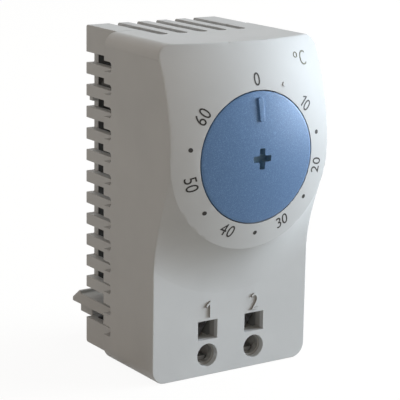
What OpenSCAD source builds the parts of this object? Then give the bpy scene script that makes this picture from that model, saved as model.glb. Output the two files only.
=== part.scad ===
// Thermostat for a 35 mm rail: comb-vented rear base, front cover with a domed face
// and a round boss, setting dial, push-in terminals and a sprung rail clip.
// Millimetres. X points right as seen from the front, the front faces -Y, Z is up.
// The origin is the middle of the rail seat on the back plane.

/* [Housing] */
// Height of the housing
body_height = 60; // [50:1:80]
// Width of the front cover
cover_width = 33; // [30:0.5:45]
// Width of the rear base
base_width = 27.7; // [26:0.1:38]
// Back edge of the cover in front of the back plane
cover_back = 10.75; // [8:0.05:14]
// Lower front face in front of the back plane
front_depth = 27.7; // [26:0.1:34]
// Radius of the cover's long corners
corner_radius = 2.65; // [1.5:0.05:4]
// Thickness of the cover's side walls
cover_side_wall = 2.3; // [1.5:0.1:3]
// Thickness of the cover's top and bottom walls
cover_end_wall = 1.6; // [1.2:0.1:3]
// Thickness of the lower front wall
cover_front_wall = 2.3; // [1.5:0.1:3]
// Thickness of the base's side walls
base_side_wall = 1.65; // [1.5:0.05:2.5]
// Thickness of the back plate
back_plate = 1.55; // [1.2:0.05:3]
// Radius of the base's rear top and bottom edges
rear_round = 0.5; // [0.2:0.1:1]

/* [Comb and vents] */
// Number of gaps in each comb
gap_count = 13; // [5:1:15]
// Distance from one gap to the next
gap_pitch = 4.02; // [3:0.02:6]
// Height of a gap
gap_height = 1.9; // [1:0.1:3]
// Reach of the base gaps in front of the back plane
gap_reach = 14; // [12:0.1:15]
// Reach of the cover slots in front of the back plane
cover_slot_reach = 13.4; // [12:0.1:15]
// Number of top slots
top_slot_count = 5; // [1:2:7]
// Distance between top slots
top_slot_pitch = 4.13; // [3:0.01:5]
// Width of a top slot
top_slot_width = 2; // [1:0.1:3]
// Front end of the top slots
top_slot_reach = 17.8; // [12:0.1:20]

/* [Dome and dial] */
// Height of the dial centre above the bottom
dial_height = 40.37; // [35:0.01:45]
// Radius of the dome
dome_radius = 41.9; // [35:0.1:60]
// Front of the dome in front of the back plane
dome_front = 36.06; // [34:0.01:40]
// Radius of the round boss
boss_radius = 16.45; // [14:0.05:16.45]
// Radius of the hollow curve round the lower half of the boss
hollow_radius = 12; // [6:0.1:16]
// Radius of the dial
dial_radius = 11.45; // [9:0.01:13]
// Gap around the dial
dial_gap = 0.15; // [0.1:0.01:0.5]
// Length of the plus slot
plus_length = 3.7; // [2:0.1:5]
// Width of the plus slot
plus_width = 1.1; // [0.6:0.1:2]
// Height of the raised pointer above the dial
pointer_height = 0.48; // [0.2:0.02:0.48]

/* [Terminals] */
// Distance of a terminal from the middle
terminal_side = 5; // [4.5:0.1:7]
// Height of the wire entries
wire_height = 3.76; // [3.5:0.01:6]
// Radius of a wire entry
wire_radius = 2.07; // [1.5:0.01:2.5]
// Width of a release opening
release_width = 4; // [2:0.1:5]
// Lower edge of a release opening
release_low = 6.7; // [6:0.05:9]
// Upper edge of a release opening
release_high = 10.12; // [8:0.01:12]

/* [Rail clip] */
// Width of the rail
rail_width = 35; // [35:1:35]
// Top of the clip plate
clip_top = 8.85; // [8:0.05:10]
// Thickness of the clip plate
clip_plate = 2; // [1.5:0.1:2.5]
// Front of the clip lip behind the back plane
lip_front = 2.16; // [1.5:0.01:3]
// Back end of the clip
clip_end = 5.26; // [4:0.01:8]

/* [Mechanism] */
// Radius of the spindle thread
spindle_radius = 2.5; // [1.5:0.1:3]
// Height of the arm's pivot pin
pivot_height = 53.4; // [52:0.1:53.8]
// Radius of the pivot pin
pivot_radius = 0.8; // [0.6:0.05:1.2]
// Height of the contacts
contact_height = 17; // [15:0.5:20]
// Thickness of the bimetal strip
bimetal_thickness = 0.7; // [0.4:0.1:1]

/* [Hidden] */
$fn = 64;
slip = 0.05;
far = 60;
rail_height = clip_top + rail_width / 2;
half_cover = cover_width / 2;
half_base = base_width / 2;
inner_base = half_base - base_side_wall;
inner_cover = half_cover - cover_side_wall;
dome_centre = dome_radius - dome_front;
rim_wall = 0.1;
rim_depth = sqrt(dome_radius * dome_radius - boss_radius * boss_radius) - dome_centre - rim_wall;
hollow_rise = rim_depth - front_depth;
hollow_reach = boss_radius + sqrt(2 * hollow_radius * hollow_rise - hollow_rise * hollow_rise);
cavity_front = front_depth - cover_front_wall;
recess_floor = 31.9;
recess_wall = 2;
hub_radius = 3.9;
dial_back = 32.2;
stop_radius = 8;
stop_pin = 0.8;
stop_angle = 207;
dial_turn = 306;
seam = 0.15;
base_front = cover_back - seam;
skirt_front = 17.5;
skirt_gap = 0.35;
end_block = (body_height - gap_count * gap_pitch + gap_pitch - gap_height) / 2;
gap_top = body_height - end_block;
clip_place_low = end_block;
clip_place_high = end_block + 2 * gap_height + gap_pitch - gap_height;
clip_hinge_y = 15.75;
clip_hinge_z = clip_top - clip_plate / 2;
clip_side_gap = 0.3;
carrier_back = 14;
carrier_front = 16.5;
carrier_half = 11.4;
carrier_top = 55.2;
post_side = 9.8;
post_radius = 1.9;
post_right = 24;
post_left = 49;
screw_radius = 1;
screw_head = 1.5;
rivet_side = 7;
rivet_height = 51;
rivet_radius = 0.8;
rivet_head = 1.2;
arm_front = 12.2;
arm_back = 11.2;
arm_pin_y = 11.2;
arm_half = 4;
arm_low = 31;
strip_front = arm_back - 0.1;
strip_back = strip_front - bimetal_thickness;
strip_half = 3.2;
strip_low = 14.8;
strip_top = 36.8;
strip_rivets = [32.6, 35.6];
spring_height = 46.2;
spring_radius = 2.3;
screw_tip = 13.2;
spindle_tip = screw_tip + 0.15;
bush_side = 3.5;
magnet_height = 22.5;
magnet_face = 13.4;
magnet_half = 3;
pad_rivet_side = 2.2;
chamber_half = 2.1;
chamber_low = 1.95;
chamber_high = 10.4;
chamber_back = 18.6;
block_front = 25.2;
block_back = 17.6;
block_top = 13.5;
bar_thickness = 0.8;
bar_half = 1.5;
bar_low = 14.7;
latch_side = 11;
latch_half = 1.5;
latch_back = 15;
latch_front = 16.4;
latch_depth = 0.2;
pocket_end = 4.2;
relief_end = 2.4;
socket_half = 1.6;
pointer_half = 0.52;
pointer_inner = 6.45;
pointer_outer = 10.45;
pointer_corner = 0.35;
dial_hub_back = 26.5;
washer_back = 29.15;
washer_front = 29.55;

// turned piece pointing to the front, from one depth to the next
module front_round(x, z, from, to, radius) {
    translate([x, -from, z])
        rotate([90, 0, 0])
            cylinder(h = to - from, r = radius);
}

// turned piece across the housing
module cross_round(y, z, half, radius) {
    translate([-half, y, z])
        rotate([0, 90, 0])
            cylinder(h = 2 * half, r = radius);
}

// block between two side positions, depths and heights
module block(left, right, from, to, low, high) {
    translate([left, -to, low])
        cube([right - left, to - from, high - low]);
}

// outline drawn in depth and height, drawn out across the housing
module across(left, right) {
    translate([left, 0, 0])
        rotate([90, 0, 90])
            linear_extrude(height = right - left)
                children();
}

// outline drawn in width and height, drawn out to the front
module forward(from, to) {
    translate([0, -from, 0])
        rotate([90, 0, 0])
            linear_extrude(height = to - from)
                children();
}

module at_rail() {
    translate([0, 0, -rail_height])
        children();
}

module cover_outline() {
    straight = half_cover - corner_radius;
    translate([-straight, 0])
        square([2 * straight, body_height]);
    translate([-half_cover, corner_radius])
        square([cover_width, body_height - 2 * corner_radius]);
    for (x = [-straight, straight], z = [corner_radius, body_height - corner_radius])
        translate([x, z])
            circle(corner_radius);
}

// hollow curve turned round the dial, from the rim of the boss down to the flat front
module boss_foot() {
    translate([0, 0, dial_height])
        rotate([90, 0, 0])
            rotate([0, 0, 180])
                rotate_extrude(angle = 180, $fn = 160)
                    difference() {
                        translate([0, cover_back])
                            square([hollow_reach, rim_depth - cover_back]);
                        translate([hollow_reach, front_depth + hollow_radius])
                            circle(hollow_radius, $fn = 160);
                    }
}

module dome() {
    intersection() {
        translate([0, dome_centre, dial_height])
            rotate([90, 0, 0])
                sphere(dome_radius, $fn = 160);
        union() {
            block(-far, far, cover_back, far, dial_height, far + far);
            front_round(0, dial_height, cover_back, far, boss_radius, $fn = 128);
        }
    }
}

// the side slots of the cover as one outline, square behind and rounded in front
module cover_slots() {
    round_end = 0.6;
    for (i = [0 : gap_count - 1]) {
        top = gap_top - i * gap_pitch;
        straight = cover_slot_reach - round_end;
        translate([-straight, top - gap_height])
            square([straight, gap_height]);
        translate([-cover_slot_reach, top - gap_height + round_end])
            square([cover_slot_reach, gap_height - 2 * round_end]);
        for (z = [top - round_end, top - gap_height + round_end])
            translate([-straight, z])
                circle(round_end, $fn = 24);
    }
}

module top_slots(from, low) {
    half = top_slot_width / 2;
    for (i = [0 : top_slot_count - 1]) {
        x = (i - (top_slot_count - 1) / 2) * top_slot_pitch;
        block(x - half, x + half, from, top_slot_reach - half, low, body_height + 1);
        translate([x, half - top_slot_reach, low])
            cylinder(h = body_height + 1 - low, r = half, $fn = 32);
    }
}

module cover_cavity() {
    block(-inner_cover, inner_cover, 0, cavity_front, cover_end_wall, body_height - cover_end_wall);
    front_round(0, dial_height, cover_back, recess_floor - recess_wall, inner_cover - 0.25);
}

module dial_seat() {
    front_round(0, dial_height, recess_floor, far, dial_radius + dial_gap, $fn = 128);
    front_round(0, dial_height, cover_back, far, hub_radius + 0.25);
    // stop groove, closed over a short stretch at the bottom
    translate([0, 0.9 - recess_floor, dial_height])
        rotate([90, 0, 0])
            rotate([0, 0, 90 - stop_angle - dial_turn - 7])
                rotate_extrude(angle = dial_turn + 14)
                    translate([stop_radius - 1, 0])
                        square([2, 2]);
}

module terminal_openings() {
    for (x = [-terminal_side, terminal_side]) {
        half = release_width / 2;
        block(x - half, x + half, cavity_front - 1, far, release_low, release_high);
        front_round(x, wire_height, cavity_front - 1, far, wire_radius - 0.3);
        front_round(x, wire_height, front_depth - 1.2, far, wire_radius);
    }
}

// pockets in the cover, or with the lugs' own sizes the lugs of the base
module latch(grow, depth) {
    half = latch_half + grow;
    for (x = [-latch_side, latch_side])
        block(x - half, x + half, latch_back - grow, latch_front + grow, cover_end_wall - depth,
            body_height - cover_end_wall + depth);
}

module front_cover() {
    color([0.72, 0.74, 0.75])
        at_rail()
            difference() {
                intersection() {
                    forward(cover_back, dome_front + 1)
                        cover_outline($fn = 96);
                    union() {
                        block(-far, far, cover_back, front_depth, -1, dial_height);
                        boss_foot();
                        dome();
                    }
                }
                cover_cavity();
                across(-half_cover - 1, half_cover + 1)
                    cover_slots();
                top_slots(0, body_height - cover_end_wall - 1);
                dial_seat();
                terminal_openings();
                latch(0.2, latch_depth);
            }
}

module base_gaps() {
    for (i = [0 : gap_count - 1])
        translate([-gap_reach, gap_top - i * gap_pitch - gap_height])
            square([gap_reach + 1, gap_height]);
    translate([-gap_reach, clip_place_low])
        square([gap_reach + 1, clip_place_high - clip_place_low]);
}

module base_shell() {
    step = cover_end_wall + skirt_gap;
    across(-half_base, half_base) {
        translate([-base_front, 0])
            square([base_front - rear_round, body_height]);
        translate([-base_front, rear_round])
            square([base_front, body_height - 2 * rear_round]);
        for (z = [rear_round, body_height - rear_round])
            translate([-rear_round, z])
                circle(rear_round, $fn = 32);
    }
    block(-half_base, half_base, base_front - 1, skirt_front, step, body_height - step);
    latch(0, latch_depth - slip);
}

module base_pocket() {
    block(-inner_base, inner_base, back_plate, far, pocket_end, body_height - pocket_end);
    block(-inner_base, inner_base, back_plate, base_front - 1.6, relief_end, body_height - relief_end);
    across(-far, -inner_base)
        base_gaps();
    across(inner_base, far)
        base_gaps();
    block(-inner_base, inner_base, -1, back_plate + 1, clip_place_low, clip_place_high);
    top_slots(-1, body_height - relief_end - 0.1);
    top_slots(base_front - 1.7, body_height - pocket_end - 0.8);
    // bearings of the clip
    cross_round(-clip_hinge_y, clip_hinge_z, inner_base + 1.2, 1.05, $fn = 48);
}

// posts that carry the switch carrier, one low on the right and one high on the left
module carrier_posts(from, to, radius) {
    front_round(post_side, post_right, from, to, radius, $fn = 48);
    front_round(-post_side, post_left, from, to, radius, $fn = 48);
}

// small blocks under the second fins, seen in the top gap
module fin_blocks() {
    height = gap_top - gap_pitch - gap_height;
    for (left = [-13.3, 12.1])
        block(left, left + 1.2, 0.2, 1.4, height - 3, height - 1.9);
}

module rear_base() {
    color([0.66, 0.67, 0.66])
        at_rail()
            difference() {
                union() {
                    difference() {
                        base_shell();
                        base_pocket();
                    }
                    carrier_posts(1, carrier_back, post_radius);
                    // seat of the arm spring
                    front_round(0, spring_height, 1, 3.6, spring_radius - 0.6);
                    rail_hook();
                    fin_blocks();
                }
                carrier_posts(5, carrier_back + 1, screw_radius + slip);
                // way in to the calibration screw
                front_round(0, dial_height, -1, back_plate + 1, 1.6, $fn = 48);
            }
}

// fixed hook over the upper edge of the rail
module rail_hook() {
    half = 9;
    seat = clip_top + rail_width;
    throat = 1.3;
    reach = 3.1;
    lip = 1.6;
    across(-half, half)
        polygon([
            [-0.5, seat], [throat, seat], [throat, seat - lip], [reach - 0.5, seat - lip],
            [reach, seat - lip + 0.7], [reach, seat + lip], [-0.5, seat + lip + 2]
        ]);
}

module rail_clip() {
    low = clip_top - clip_plate;
    narrow = inner_base - clip_side_gap;
    shoulder = gap_reach - clip_side_gap;
    lip_top = clip_top + 0.52;
    nose = 7.48;
    foot_low = 4.45;
    window_half = 8;
    slot_half = 3;
    color([0.62, 0.63, 0.62])
        at_rail()
            difference() {
                union() {
                    across(-half_base, half_base)
                        polygon([
                            [-shoulder, low], [clip_end, low - 0.15], [clip_end, nose],
                            [lip_front + 0.58, lip_top], [lip_front, lip_top], [lip_front, clip_top],
                            [-shoulder, clip_top]
                        ]);
                    block(-inner_base, inner_base, 0.2 - clip_end, -0.6, foot_low, low + 0.1);
                    block(-narrow, narrow, shoulder - 0.5, clip_hinge_y, low, clip_top);
                    cross_round(-clip_hinge_y, clip_hinge_z, narrow, 1.3, $fn = 48);
                    cross_round(-clip_hinge_y, clip_hinge_z, inner_base + 1, 0.97, $fn = 48);
                }
                // window between the two side arms
                block(-window_half, window_half, 1.4, 12.4, low - 1, clip_top + 1);
                // slot for the tool that pulls the clip down
                block(-slot_half, slot_half, -4.1, -1.7, foot_low - 0.5, foot_low + 1.75);
            }
}

module dial_face() {
    intersection() {
        translate([0, dome_centre, dial_height])
            rotate([90, 0, 0])
                sphere(dome_radius, $fn = 160);
        front_round(0, dial_height, dial_back, far, dial_radius, $fn = 128);
    }
}

// outline of the pointer seen from the front, with round corners
module pointer_outline() {
    inside = pointer_half - pointer_corner;
    translate([-inside, pointer_inner])
        square([2 * inside, pointer_outer - pointer_inner]);
    translate([-pointer_half, pointer_inner + pointer_corner])
        square([2 * pointer_half, pointer_outer - pointer_inner - 2 * pointer_corner]);
    for (x = [-inside, inside], height = [pointer_inner + pointer_corner, pointer_outer - pointer_corner])
        translate([x, height])
            circle(pointer_corner, $fn = 32);
}

// raised bar that follows the curve of the dial
module pointer() {
    intersection() {
        translate([0, dome_centre, dial_height])
            rotate([90, 0, 0])
                sphere(dome_radius + pointer_height, $fn = 160);
        forward(dial_back + 1, far)
            translate([0, dial_height])
                pointer_outline();
    }
}

module setting_dial() {
    slot_floor = 34.4;
    long = plus_length / 2;
    short = plus_width / 2;
    color([0.36, 0.49, 0.66])
        at_rail()
            difference() {
                union() {
                    dial_face();
                    pointer();
                    front_round(0, dial_height, dial_hub_back, dial_back + 1, hub_radius);
                    // pin that runs in the stop groove
                    rotate_about_dial(stop_angle)
                        front_round(0, dial_height + stop_radius, recess_floor - 0.6, dial_back + 0.5,
                            stop_pin, $fn = 32);
                }
                block(-long, long, slot_floor, far, dial_height - short, dial_height + short);
                block(-short, short, slot_floor, far, dial_height - long, dial_height + long);
                // square socket for the spindle
                block(-socket_half, socket_half, 20, slot_floor - 1, dial_height - socket_half,
                    dial_height + socket_half);
                // groove for the washer
                difference() {
                    front_round(0, dial_height, washer_back - slip, washer_front + slip, hub_radius + 1);
                    front_round(0, dial_height, washer_back - 0.2, washer_front + 0.2, hub_radius - 0.4);
                }
            }
}

// turns about the dial's axis, clockwise from the top as seen from the front
module rotate_about_dial(angle) {
    translate([0, 0, dial_height])
        rotate([0, angle, 0])
            translate([0, 0, -dial_height])
                children();
}

module dial_washer() {
    color([0.7, 0.7, 0.72])
        at_rail()
            difference() {
                front_round(0, dial_height, washer_back, washer_front, 6);
                front_round(0, dial_height, 29, 30, hub_radius - 0.35);
                // mouth that lets the washer slide onto the hub
                block(-1.6, 1.6, 28, 31, dial_height + 3, dial_height + 7);
            }
}

module adjusting_spindle() {
    color([0.78, 0.62, 0.32])
        at_rail() {
            square_half = socket_half - 0.2;
            thread_back = 15.2;
            block(-square_half, square_half, 24.5, 32.6, dial_height - square_half,
                dial_height + square_half);
            front_round(0, dial_height, thread_back, 25, spindle_radius);
            front_round(0, dial_height, spindle_tip + 0.4, thread_back + 0.1, 1.2, $fn = 32);
            front_round(0, dial_height, spindle_tip, spindle_tip + 0.5, 0.9, $fn = 32);
        }
}

module spindle_bush() {
    color([0.72, 0.58, 0.3])
        at_rail()
            difference() {
                union() {
                    front_round(0, dial_height, carrier_front, 18.4, 4.6, $fn = 6);
                    front_round(0, dial_height, carrier_back + 0.1, carrier_front + 0.5, bush_side);
                }
                front_round(0, dial_height, 10, 20, spindle_radius + 0.1);
            }
}

module chambers() {
    for (x = [-terminal_side, terminal_side]) {
        block(x - chamber_half, x + chamber_half, chamber_back, block_front + 1, chamber_low, chamber_high);
        // slot for the terminal bar behind the spring
        block(x - 1.6, x + 1.6, chamber_back, chamber_back + 1, chamber_high - 1, block_top + 1);
    }
}

module switch_carrier() {
    // the carrier steps forward over the clip below this height
    step = 11.9;
    color([0.16, 0.16, 0.17])
        at_rail()
            difference() {
                union() {
                    block(-carrier_half, carrier_half, carrier_back, carrier_front, step, carrier_top);
                    block(-carrier_half, carrier_half, carrier_back, block_front, step, block_top);
                    block(-carrier_half, carrier_half, block_back, block_front, 1.7, block_top);
                }
                chambers();
                front_round(0, dial_height, 10, 20, bush_side + slip);
                carrier_posts(10, 20, screw_radius + slip);
                // seats of the magnet, the fixed contact and the bracket rivets
                block(-magnet_half - slip, magnet_half + slip, 13, 15.6, magnet_height - 2.05,
                    magnet_height + 2.05);
                front_round(0, contact_height, 10, 20, rivet_radius + slip, $fn = 48);
                for (x = [-rivet_side, rivet_side])
                    front_round(x, rivet_height, 10, 20, rivet_radius + slip, $fn = 48);
            }
}

module carrier_screw(x, z) {
    difference() {
        union() {
            front_round(x, z, 6, carrier_front + 0.1, screw_radius, $fn = 48);
            front_round(x, z, carrier_front, carrier_front + 1.4, screw_head, $fn = 48);
        }
        block(x - 2, x + 2, carrier_front + 0.9, 20, z - 0.25, z + 0.25);
        block(x - 0.25, x + 0.25, carrier_front + 0.9, 20, z - 2, z + 2);
    }
}

module carrier_screws() {
    color([0.75, 0.76, 0.78])
        at_rail() {
            carrier_screw(post_side, post_right);
            carrier_screw(-post_side, post_left);
        }
}

module arm_bracket() {
    sheet = 0.8;
    half = 8.6;
    low = 49.2;
    high = 55;
    ear_side = 4.9;
    color([0.72, 0.6, 0.36])
        at_rail()
            difference() {
                union() {
                    block(-half, half, carrier_back - sheet, carrier_back, low, high);
                    for (left = [-ear_side - sheet, ear_side]) {
                        block(left, left + sheet, arm_pin_y, carrier_back, rivet_height, high);
                        across(left, left + sheet)
                            translate([-arm_pin_y, pivot_height])
                                circle(2 * pivot_radius, $fn = 48);
                    }
                }
                cross_round(-arm_pin_y, pivot_height, 10, pivot_radius + slip, $fn = 48);
                for (x = [-rivet_side, rivet_side])
                    front_round(x, rivet_height, 10, 20, rivet_radius + slip, $fn = 48);
                // room for the arm's eye
                block(-arm_half - 0.4, arm_half + 0.4, 10, 16, rivet_height + 0.2, 56);
                // notch beside the left post
                carrier_posts(10, 20, post_radius + 0.1);
            }
}

module pivot_pin() {
    color([0.75, 0.75, 0.78])
        at_rail() {
            cross_round(-arm_pin_y, pivot_height, 6.1, pivot_radius, $fn = 48);
            translate([-6.6, -arm_pin_y, pivot_height])
                rotate([0, 90, 0])
                    cylinder(h = 0.6, r = 1.2, $fn = 48);
        }
}

module bracket_rivets() {
    color([0.74, 0.6, 0.34])
        at_rail()
            for (x = [-rivet_side, rivet_side]) {
                // the left rivet also holds the terminal bar
                front_end = x < 0 ? carrier_front + bar_thickness : carrier_front;
                front_round(x, rivet_height, carrier_back - 1, front_end + 0.1, rivet_radius, $fn = 48);
                front_round(x, rivet_height, carrier_back - 1.5, carrier_back - 0.8, rivet_head, $fn = 48);
                front_round(x, rivet_height, front_end, front_end + 0.6, rivet_head, $fn = 48);
            }
}

module setting_arm() {
    color([0.6, 0.61, 0.63])
        at_rail()
            difference() {
                union() {
                    block(-arm_half, arm_half, arm_back, arm_front, arm_low, pivot_height);
                    // rolled eye round the pin, and the collar of the calibration screw
                    cross_round(-arm_pin_y, pivot_height, arm_half, 1.7, $fn = 48);
                    front_round(0, dial_height, arm_back - 1, arm_front, 2.2, $fn = 48);
                }
                cross_round(-arm_pin_y, pivot_height, arm_half + 1, pivot_radius + 0.1, $fn = 48);
                front_round(0, dial_height, 5, 20, 1.25, $fn = 48);
                for (z = strip_rivets)
                    front_round(0, z, 5, 20, 0.85, $fn = 48);
            }
}

module calibration_screw() {
    color([0.78, 0.64, 0.34])
        at_rail()
            difference() {
                union() {
                    front_round(0, dial_height, 9.6, screw_tip - 0.3, 1.2, $fn = 48);
                    front_round(0, dial_height, screw_tip - 0.4, screw_tip, 0.9, $fn = 48);
                }
                block(-2, 2, 9, 10.2, dial_height - 0.2, dial_height + 0.2);
            }
}

module arm_spring() {
    turns = 8;
    coil = spring_radius;
    wire = 0.28;
    start = back_plate + 0.3;
    pitch = (arm_back - 0.4 - wire - start) / (turns - 1);
    color([0.72, 0.73, 0.75])
        at_rail() {
            for (i = [0 : turns - 1])
                translate([0, -start - i * pitch, spring_height])
                    rotate([90, 0, 0])
                        rotate_extrude($fn = 48)
                            translate([coil, 0])
                                circle(wire, $fn = 20);
            for (i = [0 : turns - 2]) {
                side = i % 2 == 0 ? coil : -coil;
                from = start + i * pitch;
                front_round(side, spring_height, from, from + pitch, wire * 0.9, $fn = 20);
            }
        }
}

module bimetal_strip() {
    color([0.66, 0.6, 0.5])
        at_rail()
            difference() {
                block(-strip_half, strip_half, strip_back, strip_front, strip_low, strip_top);
                for (z = strip_rivets)
                    front_round(0, z, 5, 20, 1.0, $fn = 48);
                front_round(0, contact_height, 5, 20, 0.75, $fn = 48);
                for (x = [-pad_rivet_side, pad_rivet_side])
                    front_round(x, magnet_height, 5, 20, 0.55, $fn = 32);
            }
}

module bimetal_rivets() {
    color([0.74, 0.75, 0.77])
        at_rail()
            for (z = strip_rivets) {
                front_round(0, z, strip_back - 0.2, arm_front + 0.2, 0.8, $fn = 48);
                front_round(0, z, strip_back - 0.7, strip_back - 0.12, 1.5, $fn = 48);
                front_round(0, z, arm_front, arm_front + 0.5, 1.4, $fn = 48);
            }
}

module moving_contact() {
    color([0.82, 0.83, 0.85])
        at_rail() {
            front_round(0, contact_height, strip_front, strip_front + 1.1, 1.7, $fn = 48);
            front_round(0, contact_height, strip_back - 0.2, strip_front + 0.1, 0.7, $fn = 48);
            front_round(0, contact_height, strip_back - 0.5, strip_back, 1.2, $fn = 48);
        }
}

module fixed_contact() {
    outer = carrier_front + bar_thickness;
    color([0.82, 0.83, 0.85])
        at_rail() {
            front_round(0, contact_height, carrier_back - 1.2, carrier_back, 1.9, $fn = 48);
            front_round(0, contact_height, carrier_back - 0.1, outer + 0.1, rivet_radius, $fn = 48);
            front_round(0, contact_height, outer, outer + 0.5, 1.4, $fn = 48);
        }
}

module snap_magnet() {
    color([0.3, 0.3, 0.32])
        at_rail()
            block(-magnet_half, magnet_half, magnet_face, 15.5, magnet_height - 2, magnet_height + 2);
}

module armature() {
    color([0.5, 0.5, 0.52])
        at_rail() {
            block(-magnet_half, magnet_half, strip_front, strip_front + 1, magnet_height - 1.8,
                magnet_height + 1.8);
            for (x = [-pad_rivet_side, pad_rivet_side])
                front_round(x, magnet_height, strip_back - 0.3, strip_front + 0.1, 0.5, $fn = 32);
        }
}

// strip in the chamber floor, up the chamber's back and onto the carrier's front face
module terminal_foot(x) {
    left = x - bar_half;
    right = x + bar_half;
    low = chamber_low + 0.02;
    back = chamber_back + slip;
    front = back + bar_thickness;
    high = bar_low + bar_thickness;
    block(left, right, back, block_front - 0.2, low, low + bar_thickness);
    block(left, right, back, front, low, high);
    block(left, right, carrier_front, front, bar_low, high);
}

module terminal_bar_1() {
    outer = carrier_front + bar_thickness;
    left = -rivet_side - 1.2;
    color([0.76, 0.55, 0.36])
        at_rail()
            difference() {
                union() {
                    terminal_foot(-terminal_side);
                    block(left, -terminal_side + bar_half, carrier_front, outer, bar_low, 17.5);
                    block(left, -rivet_side + 1.4, carrier_front, outer, 17.4, rivet_height + 2);
                }
                front_round(-rivet_side, rivet_height, 10, 20, rivet_radius + slip, $fn = 48);
            }
}

module terminal_bar_2() {
    outer = carrier_front + bar_thickness;
    color([0.76, 0.55, 0.36])
        at_rail()
            difference() {
                union() {
                    terminal_foot(terminal_side);
                    block(-2.4, terminal_side + bar_half, carrier_front, outer, bar_low,
                        contact_height + 2.4);
                }
                front_round(0, contact_height, 10, 20, rivet_radius + slip, $fn = 48);
            }
}

// bent leaf: fixed leg along the chamber roof, bend in front, clamping leaf down to the bar
module clamp_spring(x) {
    leaf = 0.35;
    bend = 0.9;
    bend_y = -24;
    roof = chamber_high - 0.15;
    slope = 54;
    across(x - 1.7, x + 1.7)
        translate([bend_y, roof - bend]) {
            translate([0, bend - leaf])
                square([-bend_y - chamber_back - 1.1, leaf]);
            intersection() {
                difference() {
                    circle(bend, $fn = 48);
                    circle(bend - leaf, $fn = 48);
                }
                polygon([[0.01, 0], [0.01, 2], [-3, 2], [-3, -3 * tan(90 - slope)]]);
            }
            translate([-bend * sin(slope), -bend * cos(slope)])
                rotate(-slope)
                    square([6.6, leaf]);
        }
}

module clamp_spring_1() {
    color([0.7, 0.72, 0.75])
        at_rail()
            clamp_spring(-terminal_side);
}

module clamp_spring_2() {
    color([0.7, 0.72, 0.75])
        at_rail()
            clamp_spring(terminal_side);
}

rear_base();
front_cover();
rail_clip();
setting_dial();
dial_washer();
adjusting_spindle();
spindle_bush();
switch_carrier();
carrier_screws();
arm_bracket();
pivot_pin();
bracket_rivets();
setting_arm();
calibration_screw();
arm_spring();
bimetal_strip();
bimetal_rivets();
moving_contact();
fixed_contact();
snap_magnet();
armature();
terminal_bar_1();
terminal_bar_2();
clamp_spring_1();
clamp_spring_2();
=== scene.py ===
import math

import bmesh
import bpy
from mathutils import Matrix, Vector


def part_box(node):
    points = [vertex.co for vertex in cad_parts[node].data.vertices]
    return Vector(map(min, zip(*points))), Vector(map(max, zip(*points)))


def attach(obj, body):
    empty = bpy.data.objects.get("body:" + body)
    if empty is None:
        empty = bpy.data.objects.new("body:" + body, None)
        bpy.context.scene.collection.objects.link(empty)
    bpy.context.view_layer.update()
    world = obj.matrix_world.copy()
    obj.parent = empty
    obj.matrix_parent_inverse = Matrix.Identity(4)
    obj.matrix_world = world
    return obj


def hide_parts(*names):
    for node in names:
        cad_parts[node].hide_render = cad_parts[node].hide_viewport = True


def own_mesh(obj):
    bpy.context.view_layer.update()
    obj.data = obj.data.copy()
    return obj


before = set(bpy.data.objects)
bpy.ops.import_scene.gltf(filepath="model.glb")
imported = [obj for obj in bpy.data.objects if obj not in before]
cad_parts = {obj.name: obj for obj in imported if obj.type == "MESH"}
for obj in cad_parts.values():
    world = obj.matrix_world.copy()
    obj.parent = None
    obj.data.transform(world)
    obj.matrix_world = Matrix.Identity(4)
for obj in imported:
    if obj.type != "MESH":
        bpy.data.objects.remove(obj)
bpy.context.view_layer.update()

# Looks of the rail-mounted thermostat: domed cover, comb base, blue dial, clip and inner parts.
# Pieces are drawn in millimetres above the bottom of the housing, then moved into the frame.

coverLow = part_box("front_cover")[0]
dialLow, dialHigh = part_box("setting_dial")
millimetre = 0.001
toFrame = Matrix.Translation((0, 0, coverLow.z)) @ Matrix.Scale(millimetre, 4)
dialZ = ((dialLow.z + dialHigh.z) / 2 - coverLow.z) / millimetre  # height of the dial's middle
sideways, forwards, upwards = 0, 1, 2  # axes
spare = 1  # cutting tools run this far past the solid
mergeReach = 0.001  # points closer than this are one
roundSteps = 160  # sides of the large round shapes
noiseLow, noiseHigh = 0.3, 0.7  # most of a noise lies between these


def inOrder(bm):
    # sorts points and faces by place: some operators leave them in an order that changes from run
    # to run, and later operators give another result for another order
    order = sorted(bm.verts, key=lambda vert: tuple(vert.co))
    rank = {vert: place for place, vert in enumerate(order)}
    faces = []
    for face in bm.faces:
        corners = [rank[vert] for vert in face.verts]
        first = corners.index(min(corners))
        faces.append(corners[first:] + corners[:first])
    done = bmesh.new()
    points = [done.verts.new(vert.co) for vert in order]
    for corners in sorted(faces):
        done.faces.new([points[place] for place in corners])
    bm.free()
    return done


def newObject(name, bm):
    bm = inOrder(bm)
    mesh = bpy.data.meshes.new(name)
    bm.to_mesh(mesh)
    bm.free()
    obj = bpy.data.objects.new(name, mesh)
    bpy.context.scene.collection.objects.link(obj)
    return obj


def movedVerts(made):
    return [item for item in made["geom"] if isinstance(item, bmesh.types.BMVert)]


def eachOnce(items):
    # keeps its order, as a set doesn't
    return list(dict.fromkeys(items))


def pourInto(joined, bm):
    # adds one bmesh's shapes to another
    mesh = bpy.data.meshes.new("part")
    bm.to_mesh(mesh)
    bm.free()
    joined.from_mesh(mesh)
    bpy.data.meshes.remove(mesh)


def shapeOf(obj):
    # takes the mesh out of an object that isn't needed any more
    bm = bmesh.new()
    bm.from_mesh(obj.data)
    bpy.data.objects.remove(obj)
    return bm


def addBlock(bm, low, high):
    size = Vector(high) - Vector(low)
    place = Matrix.Translation((Vector(high) + Vector(low)) / 2) @ Matrix.Diagonal((*size, 1))
    return bmesh.ops.create_cube(bm, size=1, matrix=place)["verts"]


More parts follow.
